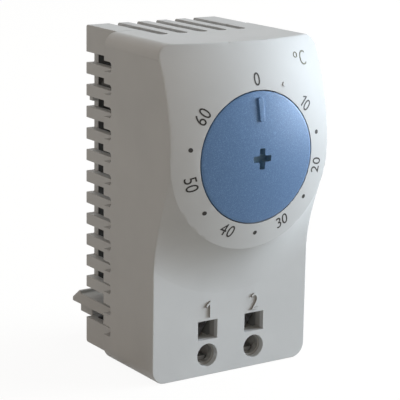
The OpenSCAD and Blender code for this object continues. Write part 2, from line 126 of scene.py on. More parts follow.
def addRoundedBlock(bm, low, high, axis, radius, segments, wanted=None):
    # block whose long edges along one axis are rounded
    verts = addBlock(bm, low, high)
    edges = []
    for edge in eachOnce(edge for vert in verts for edge in vert.link_edges):
        run = edge.verts[0].co - edge.verts[1].co
        middle = (edge.verts[0].co + edge.verts[1].co) / 2
        if abs(run[axis]) > 0.99 * run.length and (wanted is None or wanted(middle)):
            edges.append(edge)
    bmesh.ops.bevel(bm, geom=edges, offset=radius, segments=segments, profile=0.5,
                    affect="EDGES", material=-1)


def drawWire(bm, axis, start, moves):
    # a move is a point, or the centre, degrees and steps of an arc about the axis
    first = last = bm.verts.new(start)
    for move in moves:
        if len(move) == 1:
            corner = bm.verts.new(move[0])
            bm.edges.new((last, corner))
            last = corner
        else:
            centre, degrees, steps = move
            arc = bmesh.ops.spin(bm, geom=[last], cent=centre, axis=axis, angle=math.radians(degrees),
                                 steps=steps)
            last = arc["geom_last"][0]
    return first, last


def drawOutline(bm, axis, start, moves):
    first, last = drawWire(bm, axis, start, moves)
    if (first.co - last.co).length > mergeReach:
        bm.edges.new((last, first))
    bmesh.ops.remove_doubles(bm, verts=bm.verts[:], dist=mergeReach)
    bmesh.ops.contextual_create(bm, geom=bm.edges[:])


def pushOut(bm, offset):
    made = bmesh.ops.extrude_face_region(bm, geom=bm.faces[:])
    bmesh.ops.translate(bm, vec=offset, verts=movedVerts(made))
    bmesh.ops.recalc_face_normals(bm, faces=bm.faces[:])


def turnRound(bm, centre, steps):
    # full turn of the drawn wire about a line to the front
    bmesh.ops.spin(bm, geom=bm.verts[:] + bm.edges[:], cent=centre, axis=(0, 1, 0),
                   angle=math.tau, steps=steps, use_merge=True)
    bmesh.ops.remove_doubles(bm, verts=bm.verts[:], dist=mergeReach)
    bmesh.ops.recalc_face_normals(bm, faces=bm.faces[:])


def addTurned(bm, x, z, steps, profile):
    # turned shape from radius and depth pairs
    part = bmesh.new()
    points = [(x + radius, depth, z) for radius, depth in profile]
    drawWire(part, (0, 1, 0), points[0], [(point,) for point in points[1:]])
    turnRound(part, (x, 0, z), steps)
    pourInto(bm, part)


def settle(obj):
    # the mesh as the modifiers leave it
    done = bpy.data.meshes.new_from_object(obj.evaluated_get(bpy.context.evaluated_depsgraph_get()))
    obj.modifiers.clear()
    obj.data = done


def orderMesh(obj):
    bm = bmesh.new()
    bm.from_mesh(obj.data)
    bm = inOrder(bm)
    bm.to_mesh(obj.data)
    bm.free()


def carve(target, bm, how="DIFFERENCE"):
    tool = newObject("tool", bm)
    step = target.modifiers.new("carve", "BOOLEAN")
    step.object = tool
    step.operation = how
    step.solver = "EXACT"
    settle(target)
    orderMesh(target)
    bpy.data.objects.remove(tool)


def addBevel(obj, radius, segments, limit, fromAngle=40):
    bevel = obj.modifiers.new("rounding", "BEVEL")
    bevel.width = radius
    bevel.segments = segments
    bevel.limit_method = limit
    bevel.angle_limit = math.radians(fromAngle)
    bevel.use_clamp_overlap = False
    settle(obj)
    orderMesh(obj)


creaseLook = {
    "angle": 35, "leastShare": 0.1,  # flatter creases and smaller shares are left alone
    "weldShort": 0.2, "pullIn": 1.3,  # shares of the radius
    "flat": 0.3,  # faces this close in angle become one
}


def softenCreases(obj, radius, segments, share):
    # rounds the outward creases by a share of the radius; stray points beside them are pulled in first
    bm = bmesh.new()
    bm.from_mesh(obj.data)
    bmesh.ops.triangulate(bm, faces=bm.faces[:])

    def shareOf(edge):
        return share((edge.verts[0].co + edge.verts[1].co) / 2)

    def creases():
        found = []
        for edge in bm.edges:
            if edge.is_manifold and edge.calc_face_angle_signed(0) > math.radians(creaseLook["angle"]):
                if shareOf(edge) > creaseLook["leastShare"]:
                    found.append(edge)
        return found

    def ends():
        return eachOnce(vert for edge in creases() for vert in edge.verts)

    bmesh.ops.remove_doubles(bm, verts=ends(), dist=creaseLook["weldShort"] * radius)
    near = bmesh.ops.find_doubles(bm, verts=bm.verts[:], keep_verts=ends(),
                                  dist=creaseLook["pullIn"] * radius)
    bmesh.ops.weld_verts(bm, targetmap=near["targetmap"])
    bmesh.ops.dissolve_degenerate(bm, dist=mergeReach, edges=bm.edges[:])
    bmesh.ops.dissolve_limit(bm, angle_limit=math.radians(creaseLook["flat"]), verts=bm.verts[:],
                             edges=bm.edges[:])
    weight = bm.edges.layers.float.new("bevel_weight_edge")
    for edge in creases():
        edge[weight] = shareOf(edge)
    bm.to_mesh(obj.data)
    bm.free()
    addBevel(obj, radius, segments, "WEIGHT")


def copyNode(node, name, merge=0.002, flat=1):
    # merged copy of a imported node, in millimetres
    bm = bmesh.new()
    bm.from_mesh(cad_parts[node].data)
    bm.transform(toFrame.inverted())
    bmesh.ops.remove_doubles(bm, verts=bm.verts[:], dist=merge)
    bmesh.ops.dissolve_limit(bm, angle_limit=math.radians(flat), verts=bm.verts[:], edges=bm.edges[:])
    return newObject(name, bm)


smoothUpTo = 28  # degrees; sharper edges are shaded as edges


def finishPiece(obj, body, slotName, material, *replaced):
    obj.data.transform(toFrame)
    obj.data.materials.clear()
    obj.data.materials.append(material)
    obj.data.shade_smooth()
    obj.data.set_sharp_from_angle(angle=math.radians(smoothUpTo))
    even = obj.modifiers.new("evenShading", "WEIGHTED_NORMAL")  # wide faces stay flat beside rounded ones
    even.keep_sharp = True
    settle(obj)
    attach(obj, body)
    if replaced:
        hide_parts(*replaced)


# materials: every one reads object coordinates, so a pattern stays on its piece
def newMaterial(name):
    material = bpy.data.materials.new(name)
    material.use_nodes = True
    nodes = material.node_tree.nodes
    links = material.node_tree.links
    shader = nodes["Principled BSDF"]
    coords = nodes.new("ShaderNodeTexCoord")
    return material, nodes, links, shader, coords


def perMillimetre(size):
    return 1 / (size * millimetre)  # noise scale for features of this size


def addNoise(nodes, links, coords, size, detail):
    noise = nodes.new("ShaderNodeTexNoise")
    noise.inputs["Scale"].default_value = perMillimetre(size)
    noise.inputs["Detail"].default_value = detail
    links.new(coords.outputs["Object"], noise.inputs["Vector"])
    return noise.outputs["Fac"]


def addRamp(nodes, links, source, stops):
    ramp = nodes.new("ShaderNodeValToRGB")
    for index, (place, colour) in enumerate(stops):
        if index > 1:
            ramp.color_ramp.elements.new(place)
        ramp.color_ramp.elements[index].position = place
        ramp.color_ramp.elements[index].color = (*colour, 1)
    links.new(source, ramp.inputs["Fac"])
    return ramp.outputs["Color"]


def addTones(nodes, links, source, dark, light):
    return addRamp(nodes, links, source, [(noiseLow, dark), (noiseHigh, light)])


def addRange(nodes, links, source, low, high):
    spread = nodes.new("ShaderNodeMapRange")
    spread.inputs["From Min"].default_value = noiseLow
    spread.inputs["From Max"].default_value = noiseHigh
    spread.inputs["To Min"].default_value = low
    spread.inputs["To Max"].default_value = high
    links.new(source, spread.inputs["Value"])
    return spread.outputs["Result"]


def addMath(nodes, links, operation, first, second):
    step = nodes.new("ShaderNodeMath")
    step.operation = operation
    links.new(first, step.inputs[0])
    links.new(second, step.inputs[1])
    return step.outputs["Value"]


def addRelief(nodes, links, shader, source, height, strength, edge=0):
    bump = nodes.new("ShaderNodeBump")
    bump.inputs["Distance"].default_value = height * millimetre
    bump.inputs["Strength"].default_value = strength
    links.new(source, bump.inputs["Height"])
    if edge:
        bevel = nodes.new("ShaderNodeBevel")  # tiny rounding of every edge
        bevel.samples = 6
        bevel.inputs["Radius"].default_value = edge * millimetre
        links.new(bevel.outputs["Normal"], bump.inputs["Normal"])
    links.new(bump.outputs["Normal"], shader.inputs["Normal"])


def addOutside(nodes, links, coords, low, high):
    # 0 inside a box given in millimetres above the bottom, 1 outside it
    low, high = toFrame @ Vector(low), toFrame @ Vector(high)
    unit = nodes.new("ShaderNodeMapping")
    for axis in range(3):
        half = (high[axis] - low[axis]) / 2
        unit.inputs["Scale"].default_value[axis] = 1 / half
        unit.inputs["Location"].default_value[axis] = -(high[axis] + low[axis]) / 2 / half
    away = nodes.new("ShaderNodeVectorMath")
    away.operation = "ABSOLUTE"
    parts = nodes.new("ShaderNodeSeparateXYZ")
    links.new(coords.outputs["Object"], unit.inputs["Vector"])
    links.new(unit.outputs["Vector"], away.inputs[0])
    links.new(away.outputs["Vector"], parts.inputs["Vector"])
    largest = addMath(nodes, links, "MAXIMUM", parts.outputs["X"], parts.outputs["Y"])
    largest = addMath(nodes, links, "MAXIMUM", largest, parts.outputs["Z"])
    edge = nodes.new("ShaderNodeMapRange")
    edge.inputs["From Min"].default_value = 1
    edge.inputs["From Max"].default_value = 1.004  # a short fade at the box's sides
    links.new(largest, edge.inputs["Value"])
    return edge.outputs["Result"]


def addInside(nodes, links, coords, colour, look):
    # another colour inside the look's box; also gives the share outside it
    outside = addOutside(nodes, links, coords, look["insideLow"], look["insideHigh"])
    mix = nodes.new("ShaderNodeMix")
    mix.data_type = "RGBA"
    mix.inputs["A"].default_value = (*look["inside"], 1)
    links.new(outside, mix.inputs["Factor"])
    links.new(colour, mix.inputs["B"])
    return mix.outputs["Result"], outside


def mouldedPlastic(name, look):
    material, nodes, links, shader, coords = newMaterial(name)
    cloud = addNoise(nodes, links, coords, look["cloudSize"], detail=3)
    colour = addTones(nodes, links, cloud, look["darker"], look["lighter"])
    if "inside" in look:
        colour = addInside(nodes, links, coords, colour, look)[0]
    links.new(colour, shader.inputs["Base Color"])
    grain = addNoise(nodes, links, coords, look["grainSize"], detail=2)
    links.new(addRange(nodes, links, grain, look["smoothest"], look["roughest"]),
              shader.inputs["Roughness"])
    addRelief(nodes, links, shader, grain, look["grainHeight"], look["grainStrength"], look["edge"])
    shader.inputs["IOR"].default_value = look["ior"]
    return material


lineStrength = 0.4  # relief of the drawing lines on every metal


def rolledMetal(name, look):
    material, nodes, links, shader, coords = newMaterial(name)
    stretch = nodes.new("ShaderNodeMapping")
    stretch.inputs["Scale"].default_value = look["stretch"]
    links.new(coords.outputs["Object"], stretch.inputs["Vector"])
    lines = nodes.new("ShaderNodeTexNoise")
    lines.inputs["Scale"].default_value = perMillimetre(look["lineSize"])
    lines.inputs["Detail"].default_value = 3
    links.new(stretch.outputs["Vector"], lines.inputs["Vector"])
    links.new(addTones(nodes, links, lines.outputs["Fac"], look["darker"], look["lighter"]),
              shader.inputs["Base Color"])
    links.new(addRange(nodes, links, lines.outputs["Fac"], look["smoothest"], look["roughest"]),
              shader.inputs["Roughness"])
    shader.inputs["Metallic"].default_value = 1
    addRelief(nodes, links, shader, lines.outputs["Fac"], look["lineHeight"], lineStrength)
    return material


housingLook = {
    "darker": (0.555, 0.562, 0.565), "lighter": (0.59, 0.597, 0.598), "cloudSize": 9,
    "grainSize": 0.16, "grainHeight": 0.02, "grainStrength": 0.3, "edge": 0.08,
    "smoothest": 0.46, "roughest": 0.58, "ior": 1.46,
}
# painted shade: darker inner sides of both shells, so that they look nearly black through the gaps
coverPaintedShade = {
    "inside": (0.36, 0.35, 0.33), "insideLow": (-14.2, -26.7, 1.7), "insideHigh": (14.2, -9, 58.3),
}
basePaintedShade = {
    "inside": (0.12, 0.12, 0.115), "insideLow": (-12.1, -12, 1.7), "insideHigh": (12.1, -1.2, 58.3),
}
clipLook = {
    "darker": (0.5, 0.5, 0.495), "lighter": (0.55, 0.55, 0.545), "cloudSize": 6,
    "grainSize": 0.14, "grainHeight": 0.02, "grainStrength": 0.3, "edge": 0.12,
    "smoothest": 0.48, "roughest": 0.6, "ior": 1.46,
    # painted shade: darker shelf between lip and base
    "inside": (0.37, 0.37, 0.36), "insideLow": (-13.78, -15, 8.3), "insideHigh": (13.78, 3, 10),
}
carrierLook = {
    "darker": (0.21, 0.205, 0.195), "lighter": (0.26, 0.255, 0.24), "cloudSize": 5,
    "grainSize": 0.12, "grainHeight": 0.02, "grainStrength": 0.35, "edge": 0.1,
    "smoothest": 0.5, "roughest": 0.64, "ior": 1.5,
    # painted light: paler behind the round terminals, so that the bores look lit
    "inside": (0.62, 0.59, 0.55), "insideLow": (-9, -28, 1), "insideHigh": (9, -14, 6.3),
}
magnetLook = {
    "darker": (0.05, 0.05, 0.054), "lighter": (0.09, 0.09, 0.095), "cloudSize": 0.8,
    "grainSize": 0.1, "grainHeight": 0.03, "grainStrength": 0.5, "edge": 0.08,
    "smoothest": 0.55, "roughest": 0.75, "ior": 1.8,
}
inkLook = {
    "darker": (0.017, 0.015, 0.014), "lighter": (0.034, 0.03, 0.027), "cloudSize": 0.4,
    "grainSize": 0.08, "grainHeight": 0.01, "grainStrength": 0.3, "edge": 0,
    "smoothest": 0.5, "roughest": 0.68, "ior": 1.45,
}
# painted shade on the flanks of the raised digits, and a thin olive unit mark
digitPaintedShade = {
    "inside": (0.27, 0.25, 0.22), "insideLow": (-8, -28.02, 9), "insideHigh": (8, -27, 16),
}
# the unit mark's dark olive tone is partly its own colour and partly painted shade along its thin raised
# lines
markLook = {**housingLook, "darker": (0.12, 0.118, 0.07), "lighter": (0.15, 0.147, 0.09)}
housingGrey = mouldedPlastic("housingGrey", housingLook)
markOlive = mouldedPlastic("markOlive", markLook)
digitGrey = mouldedPlastic("digitGrey", {**housingLook, **digitPaintedShade})
coverGrey = mouldedPlastic("coverGrey", {**housingLook, **coverPaintedShade})
baseGrey = mouldedPlastic("baseGrey", {**housingLook, **basePaintedShade})
clipGrey = mouldedPlastic("clipGrey", clipLook)
carrierDark = mouldedPlastic("carrierDark", carrierLook)
magnetBlack = mouldedPlastic("magnetBlack", magnetLook)
scaleInk = mouldedPlastic("scaleInk", inkLook)

steelLook = {"darker": (0.5, 0.51, 0.53), "lighter": (0.66, 0.67, 0.69), "stretch": (1, 1, 0.12),
             "lineSize": 0.12, "lineHeight": 0.01, "smoothest": 0.25, "roughest": 0.4}
brassLook = {"darker": (0.62, 0.44, 0.19), "lighter": (0.78, 0.58, 0.28), "stretch": (1, 0.15, 1),
             "lineSize": 0.14, "lineHeight": 0.01, "smoothest": 0.22, "roughest": 0.38}
silverLook = {"darker": (0.78, 0.78, 0.77), "lighter": (0.88, 0.88, 0.87), "stretch": (1, 1, 1),
              "lineSize": 0.2, "lineHeight": 0.01, "smoothest": 0.16, "roughest": 0.3}
# painted shade: the tin is kept dark and dull, standing in for the shade on the bars deep inside the
# housing
tinLook = {"darker": (0.27, 0.26, 0.245), "lighter": (0.35, 0.34, 0.32), "stretch": (1, 1, 0.12),
           "lineSize": 0.15, "lineHeight": 0.01, "smoothest": 0.5, "roughest": 0.65}
bimetalLook = {"darker": (0.46, 0.43, 0.36), "lighter": (0.6, 0.56, 0.48), "stretch": (1, 1, 0.1),
               "lineSize": 0.12, "lineHeight": 0.01, "smoothest": 0.3, "roughest": 0.44}
springSteel = rolledMetal("springSteel", steelLook)
turnedBrass = rolledMetal("turnedBrass", brassLook)
contactSilver = rolledMetal("contactSilver", silverLook)
tinnedCopper = rolledMetal("tinnedCopper", tinLook)
bimetalStrip = rolledMetal("bimetalStrip", bimetalLook)

dialLook = {
    "deep": (0.071, 0.156, 0.312), "pale": (0.082, 0.173, 0.336), "flake": (0.146, 0.262, 0.448),
    "cloudSize": 0.35, "flakeSize": 0.09, "flakeShare": 0.66, "flakeFade": 0.38, "metal": 0.44,
    "smoothest": 0.36, "roughest": 0.5, "edge": 0.03,
    "grainSize": 0.12, "grainHeight": 0.02, "grainStrength": 0.35,
    # the lacquer stops at the plus slot
    "inside": (0.16, 0.27, 0.37), "insideLow": (-2, -35.87, dialZ - 2), "insideHigh": (2, -33, dialZ + 2),
}


def metallicLacquer(name, look):
    material, nodes, links, shader, coords = newMaterial(name)
    cloud = addNoise(nodes, links, coords, look["cloudSize"], detail=4)
    paint = addTones(nodes, links, cloud, look["deep"], look["pale"])
    cells = nodes.new("ShaderNodeTexVoronoi")  # one random value a flake
    cells.inputs["Scale"].default_value = perMillimetre(look["flakeSize"])
    links.new(coords.outputs["Object"], cells.inputs["Vector"])
    level = nodes.new("ShaderNodeSeparateColor")
    links.new(cells.outputs["Color"], level.inputs["Color"])
    bare, full = look["flakeShare"], look["flakeShare"] + look["flakeFade"]
    mask = addRamp(nodes, links, level.outputs["Red"], [(bare, (0, 0, 0)), (full, (1, 1, 1))])
    mix = nodes.new("ShaderNodeMix")
    mix.data_type = "RGBA"
    mix.inputs["B"].default_value = (*look["flake"], 1)
    links.new(mask, mix.inputs["Factor"])
    links.new(paint, mix.inputs["A"])
    colour, painted = addInside(nodes, links, coords, mix.outputs["Result"], look)
    links.new(colour, shader.inputs["Base Color"])
    metal = nodes.new("ShaderNodeValue")
    metal.outputs["Value"].default_value = look["metal"]
    shine = addMath(nodes, links, "MULTIPLY", mask, metal.outputs["Value"])
    links.new(addMath(nodes, links, "MULTIPLY", shine, painted), shader.inputs["Metallic"])
    grain = addNoise(nodes, links, coords, look["grainSize"], detail=2)
    links.new(addRange(nodes, links, grain, look["smoothest"], look["roughest"]),
              shader.inputs["Roughness"])
    addRelief(nodes, links, shader, grain, look["grainHeight"], look["grainStrength"], look["edge"])
    return material


dialBlue = metallicLacquer("dialBlue", dialLook)
print("materials ready")

# front cover: flat lower front, hollow turned round the boss, and dome about the dial's middle
coverLook = {
    "width": 33, "height": 60, "back": 10.75, "corner": 2.65,
    "lowerFront": 27.7, "hollowRadius": 12, "rimWall": 0.03,
    "domeRadius": 41.9, "domeFront": 36.06, "bossRadius": 16.45,
    "cavitySide": 14.2, "cavityEnd": 1.6, "cavityFront": 25.4, "cavityRound": 13.95, "cavityDeep": 29.9,
    "rimLap": 0.02, "frontLap": 0.01,  # how far the hollow reaches under the dome and the flat front
    "hollowSteps": 190, "hollowTurn": 0.011,  # its seams miss those of the dome
    "edge": 0.22, "edgeSteps": 3,
    "ventZone": 20,  # no rounding from the back edge to this depth, where the vents open
    "crispAbove": 0.5, "crispBelow": 4, "crispFade": 5,  # nor on the sides round the dial's middle
}
domeBack = coverLook["domeRadius"] - coverLook["domeFront"]  # centre of the dome behind the back plane
domeCentre = (0, domeBack, dialZ)


def domeDepth(radius):
    return domeBack - math.sqrt(coverLook["domeRadius"] ** 2 - radius ** 2)


def domeBall(extra):
    # the whole ball that the dome is a part of, larger by extra
    bm = bmesh.new()
    bmesh.ops.create_uvsphere(bm, u_segments=roundSteps, v_segments=120,
                              radius=coverLook["domeRadius"] + extra)
    bmesh.ops.rotate(bm, verts=bm.verts[:], matrix=Matrix.Rotation(math.pi / 2, 3, "X"))
    bmesh.ops.translate(bm, vec=domeCentre, verts=bm.verts[:])
    return bm


def buildCoverBody(look):
    half = look["width"] / 2
    side = half + spare
    behind = -look["back"] + 2 * spare
    boss = look["bossRadius"]

    # block behind the flat lower front, then the hollow turned round the boss
    bm = bmesh.new()
    addBlock(bm, (-side, -look["lowerFront"], -spare), (side, behind, dialZ + 2 * spare))
    body = newObject("frontCover", bm)
    rise = -domeDepth(boss) - look["rimWall"] - look["lowerFront"]
    sweep = math.acos(1 - rise / look["hollowRadius"])
    reach = boss - look["rimLap"] + look["hollowRadius"] * math.sin(sweep)
    start = look["frontLap"] - look["lowerFront"]
    bm = bmesh.new()
    drawWire(bm, (0, 0, 1), (0, -look["back"] - spare, dialZ), [
        ((reach, -look["back"] - spare, dialZ),),
        ((reach, start, dialZ),),
        ((reach, start - look["hollowRadius"], dialZ), math.degrees(sweep), 28),
        ((0, start - rise, dialZ),),
    ])
    turnRound(bm, (0, 0, dialZ), look["hollowSteps"])
    bmesh.ops.rotate(bm, verts=bm.verts[:], cent=(0, 0, dialZ),
                     matrix=Matrix.Rotation(look["hollowTurn"], 3, "Y"))
    carve(body, bm, "UNION")

    # dome above the dial's middle and inside the boss
    dome = newObject("dome", domeBall(0))
    top = look["height"] + 2 * spare
    bm = bmesh.new()
    drawOutline(bm, (0, 1, 0), (-boss, behind, dialZ), [
        ((0, behind, dialZ), -180, 96),
        ((side, behind, dialZ),),
        ((side, behind, top),),
        ((-side, behind, top),),
        ((-side, behind, dialZ),),
    ])
    pushOut(bm, (0, -look["domeFront"], 0))
    carve(dome, bm, "INTERSECT")
    carve(body, shapeOf(dome), "UNION")

    # rounded outline seen from the front
    bm = bmesh.new()
    addRoundedBlock(bm, (-half, -look["domeFront"] - 2 * spare, 0),
                    (half, -look["back"], look["height"]), forwards, look["corner"], segments=12)
    carve(body, bm, "INTERSECT")
    return body


coverBody = buildCoverBody(coverLook)
print("cover body", len(coverBody.data.polygons), "faces")

openingLook = {
    "slots": 13, "slotPitch": 4.02, "slotHeight": 1.9, "slotFront": 13.4, "slotBack": 8, "slotCorner": 0.6,
    "topSlots": 5, "topPitch": 4.13, "topWidth": 2, "topFront": 17.8, "topRound": 0.98,
    "cavityBack": 5, "roundBack": 9, "hubBack": 20, "farFront": 40,  # where the inner cuts start and end
    "side": 5, "wallDepth": 3, "wireZ": 3.76, "wireRadius": 2.07, "wireBore": 1.77, "wireStep": 26.5,
    "releaseHalf": 2, "releaseLow": 6.7, "releaseHigh": 10.12,
    "flare": 0.07,  # openings widen at 45 degrees over this depth; the tools go on past the surface
    "seatRadius": 11.6, "seatFloor": 31.9, "hubRadius": 4.15,
    "stopInner": 7, "stopOuter": 9, "stopFloor": 31, "stopOpen": 320, "stopStart": -244,
}
gapTop = (coverLook["height"] + (openingLook["slots"] - 1) * openingLook["slotPitch"]
          + openingLook["slotHeight"]) / 2


def cutCavity(body, cover, look):
    bm = bmesh.new()
    addBlock(bm, (-cover["cavitySide"], -cover["cavityFront"], cover["cavityEnd"]),
             (cover["cavitySide"], -look["cavityBack"], cover["height"] - cover["cavityEnd"]))
    carve(body, bm)
    bm = bmesh.new()
    radius, start, end = cover["cavityRound"], -look["roundBack"], -cover["cavityDeep"]
    addTurned(bm, 0, dialZ, steps=96, profile=[(0, start), (radius, start), (radius, end), (0, end)])
    carve(body, bm)


def atFront(front):
    # picks the edges at the front end of a vent
    return lambda middle: middle.y < front + 0.1


def cutVents(body, cover, look):
    bm = bmesh.new()
    side = cover["width"] / 2 + spare
    front = -look["slotFront"]
    for index in range(look["slots"]):
        top = gapTop - index * look["slotPitch"]
        addRoundedBlock(bm, (-side, front, top - look["slotHeight"]), (side, -look["slotBack"], top),
                        sideways, look["slotCorner"], segments=5, wanted=atFront(front))
    carve(body, bm)
    bm = bmesh.new()
    half = look["topWidth"] / 2
    front = -look["topFront"]
    low, high = cover["height"] - cover["cavityEnd"] - spare, cover["height"] + spare
    for index in range(look["topSlots"]):
        x = (index - (look["topSlots"] - 1) / 2) * look["topPitch"]
        addRoundedBlock(bm, (x - half, front, low), (x + half, -look["slotBack"], high),
                        upwards, half * look["topRound"], segments=10, wanted=atFront(front))
    carve(body, bm)


def cutDialSeat(body, look):
    # seat with its hub hole and a fine flare at the dome
    hub, seat, flare = look["hubRadius"], look["seatRadius"], look["flare"]
    start, floor, end = -look["hubBack"], -look["seatFloor"], -look["farFront"]
    mouth = domeDepth(seat) + flare
    bm = bmesh.new()
    addTurned(bm, 0, dialZ, steps=roundSteps, profile=[
        (0, start), (hub, start), (hub, floor), (seat, floor),
        (seat, mouth), (seat + 4 * flare, mouth - 4 * flare), (seat + 4 * flare, end), (0, end),
    ])
    carve(body, bm)
    # groove that the dial's stop pin runs in
    bm = bmesh.new()
    inner, outer, floor = look["stopInner"], look["stopOuter"], -look["stopFloor"]
    over = floor - 2 * spare
    drawOutline(bm, (0, 1, 0), (inner, floor, dialZ), [
        ((outer, floor, dialZ),), ((outer, over, dialZ),), ((inner, over, dialZ),),
    ])
    bmesh.ops.rotate(bm, verts=bm.verts[:], cent=(0, 0, dialZ),
                     matrix=Matrix.Rotation(math.radians(look["stopStart"]), 3, "Y"))
    bmesh.ops.spin(bm, geom=bm.faces[:], cent=(0, 0, dialZ), axis=(0, 1, 0),
                   angle=math.radians(look["stopOpen"]), steps=80)
    bmesh.ops.recalc_face_normals(bm, faces=bm.faces[:])
    carve(body, bm)


def cutTerminals(body, cover, look):
    # square release openings over round wire entries, each with a fine flare
    flare = look["flare"]
    bm = bmesh.new()
    front = -cover["lowerFront"]
    for x in (-look["side"], look["side"]):
        half = look["releaseHalf"]
        wide = half + 4 * flare
        low, high = look["releaseLow"], look["releaseHigh"]
        verts = addBlock(bm, (x - half, front + look["wallDepth"], low), (x + half, front + flare, high))
        faces = eachOnce(face for vert in verts for face in vert.link_faces)
        lips = [face for face in faces if face.calc_center_median().y < front + flare + 0.01]
        made = bmesh.ops.extrude_face_region(bm, geom=lips)
        mouthVerts = movedVerts(made)
        middle = Vector((x, 0, (low + high) / 2))
        bmesh.ops.delete(bm, geom=lips, context="FACES")
        bmesh.ops.translate(bm, vec=(0, -4 * flare, 0), verts=mouthVerts)
        grow = wide / half
        bmesh.ops.scale(bm, vec=(grow, 1, grow), space=Matrix.Translation(-middle), verts=mouthVerts)
        rim = look["wireRadius"]
        bore, step, end = look["wireBore"], -look["wireStep"], front + look["wallDepth"]
        addTurned(bm, x, look["wireZ"], steps=64, profile=[
            (0, end), (bore, end), (bore, step), (rim, step), (rim, front + flare),
            (rim + 3 * flare, front - 2 * flare), (0, front - 2 * flare),
        ])
    bmesh.ops.recalc_face_normals(bm, faces=bm.faces[:])
    carve(body, bm)


def roundCover(body, look):
    corner = look["corner"]
    middleHeight = look["height"] / 2
    outline = corner - 0.03
    backEdge = -look["back"] - 0.1

    def outerEdge(middle):
        # only what lies on the outline seen from the front is rounded
        aside = max(abs(middle.x) - look["width"] / 2 + corner, 0)
        along = max(abs(middle.z - middleHeight) - middleHeight + corner, 0)
        if math.hypot(aside, along) < outline or -look["ventZone"] < middle.y < backEdge:
            return 0
        above = middle.z - dialZ - look["crispAbove"]
        below = dialZ - look["crispBelow"] - middle.z
        return min(1, max(above, below, 0) / look["crispFade"])

    softenCreases(body, look["edge"], look["edgeSteps"], outerEdge)


cutCavity(coverBody, coverLook, openingLook)
cutVents(coverBody, coverLook, openingLook)
cutDialSeat(coverBody, openingLook)
cutTerminals(coverBody, coverLook, openingLook)
roundCover(coverBody, coverLook)
finishPiece(coverBody, "housing", "housing_grey", coverGrey, "front_cover")
print("front cover", len(coverBody.data.polygons), "faces")

# rear base and rail clip: merged copies of their solids with real edge rounding
baseLook = {"edge": 0.12, "edgeSteps": 2}
clipShape = {"edge": 0.15, "edgeSteps": 2}


def roundCopy(node, name, look):
    obj = copyNode(node, name)
    addBevel(obj, look["edge"], look["edgeSteps"], "ANGLE")
    return obj


rearBase = roundCopy("rear_base", "rearBase", baseLook)
finishPiece(rearBase, "housing", "housing_grey", baseGrey, "rear_base")
railClip = roundCopy("rail_clip", "railClip", clipShape)
finishPiece(railClip, "clip", "clip_grey", clipGrey, "rail_clip")
print("base and clip ready")

# setting dial: turned cap with plus slot, raised pointer and hub
dialShape = {
    "radius": 11.45, "back": 32.2, "hubRadius": 3.9, "hubBack": 26.5, "edge": 0.05,
    "washerBack": 29.1, "washerFront": 29.6, "washerRadius": 3.5,
    "stopRadius": 8, "stopPin": 0.8, "stopBack": 31.3, "stopRoot": 32.7, "stopTurn": 207,
    "socketHalf": 1.6, "socketEnd": 33.4,
    "slotLong": 1.85, "slotShort": 0.55, "slotFloor": 34.4, "slotCorner": 0.24, "slotCut": 4,
    "pointerInner": 6.45, "pointerOuter": 10.45, "pointerHalf": 0.52, "pointerHeight": 0.36,
    "pointerRoot": 33.2, "pointerLength": 7, "pointerCorner": 0.35, "pointerEdge": 0.03,
}


def turnCap(look):
    # domed cap with its hub and the groove for the washer
    edge = look["edge"]
    rim = look["radius"] - edge
    reach = math.degrees(math.asin(rim / coverLook["domeRadius"]))
    rimDepth = domeDepth(look["radius"])
    bm = bmesh.new()
    drawWire(bm, (0, 0, 1), (0, -coverLook["domeFront"], dialZ), [
        (domeCentre, reach, 24),
        ((look["radius"] - 0.3 * edge, rimDepth + 0.3 * edge, dialZ),),
        ((look["radius"], rimDepth + edge, dialZ),),
        ((look["radius"], -look["back"], dialZ),),
        ((look["hubRadius"], -look["back"], dialZ),),
        ((look["hubRadius"], -look["washerFront"], dialZ),),
        ((look["washerRadius"], -look["washerFront"], dialZ),),
        ((look["washerRadius"], -look["washerBack"], dialZ),),
        ((look["hubRadius"], -look["washerBack"], dialZ),),
        ((look["hubRadius"], -look["hubBack"], dialZ),),
        ((0, -look["hubBack"], dialZ),),
    ])
    turnRound(bm, (0, 0, dialZ), roundSteps)
    return newObject("settingDial", bm)


def addStopPin(dial, look):
    bm = bmesh.new()
    turn = math.radians(look["stopTurn"])
    x, z = look["stopRadius"] * math.sin(turn), dialZ + look["stopRadius"] * math.cos(turn)
    radius, start, end = look["stopPin"], -look["stopBack"], -look["stopRoot"]
    addTurned(bm, x, z, steps=24, profile=[(0, start), (radius, start), (radius, end), (0, end)])
    carve(dial, bm, "UNION")


def cutSocket(dial, look):
    bm = bmesh.new()
    half = look["socketHalf"]
    addBlock(bm, (-half, -look["socketEnd"], dialZ - half), (half, spare - look["hubBack"], dialZ + half))
    carve(dial, bm)


def addPointer(dial, look):
    # raised bar that follows the curve of the dial; only its front edges are softened
    half, root = look["pointerHalf"], -look["pointerRoot"]
    showing = root - 0.5
    bm = bmesh.new()
    addRoundedBlock(bm, (-half, root - look["pointerLength"], dialZ + look["pointerInner"]),
                    (half, root, dialZ + look["pointerOuter"]), forwards, look["pointerCorner"], segments=6)
    pointer = newObject("pointer", bm)
    carve(pointer, domeBall(look["pointerHeight"]), "INTERSECT")
    softenCreases(pointer, look["pointerEdge"], 2, lambda middle: middle.y < showing)
    carve(dial, shapeOf(pointer), "UNION")


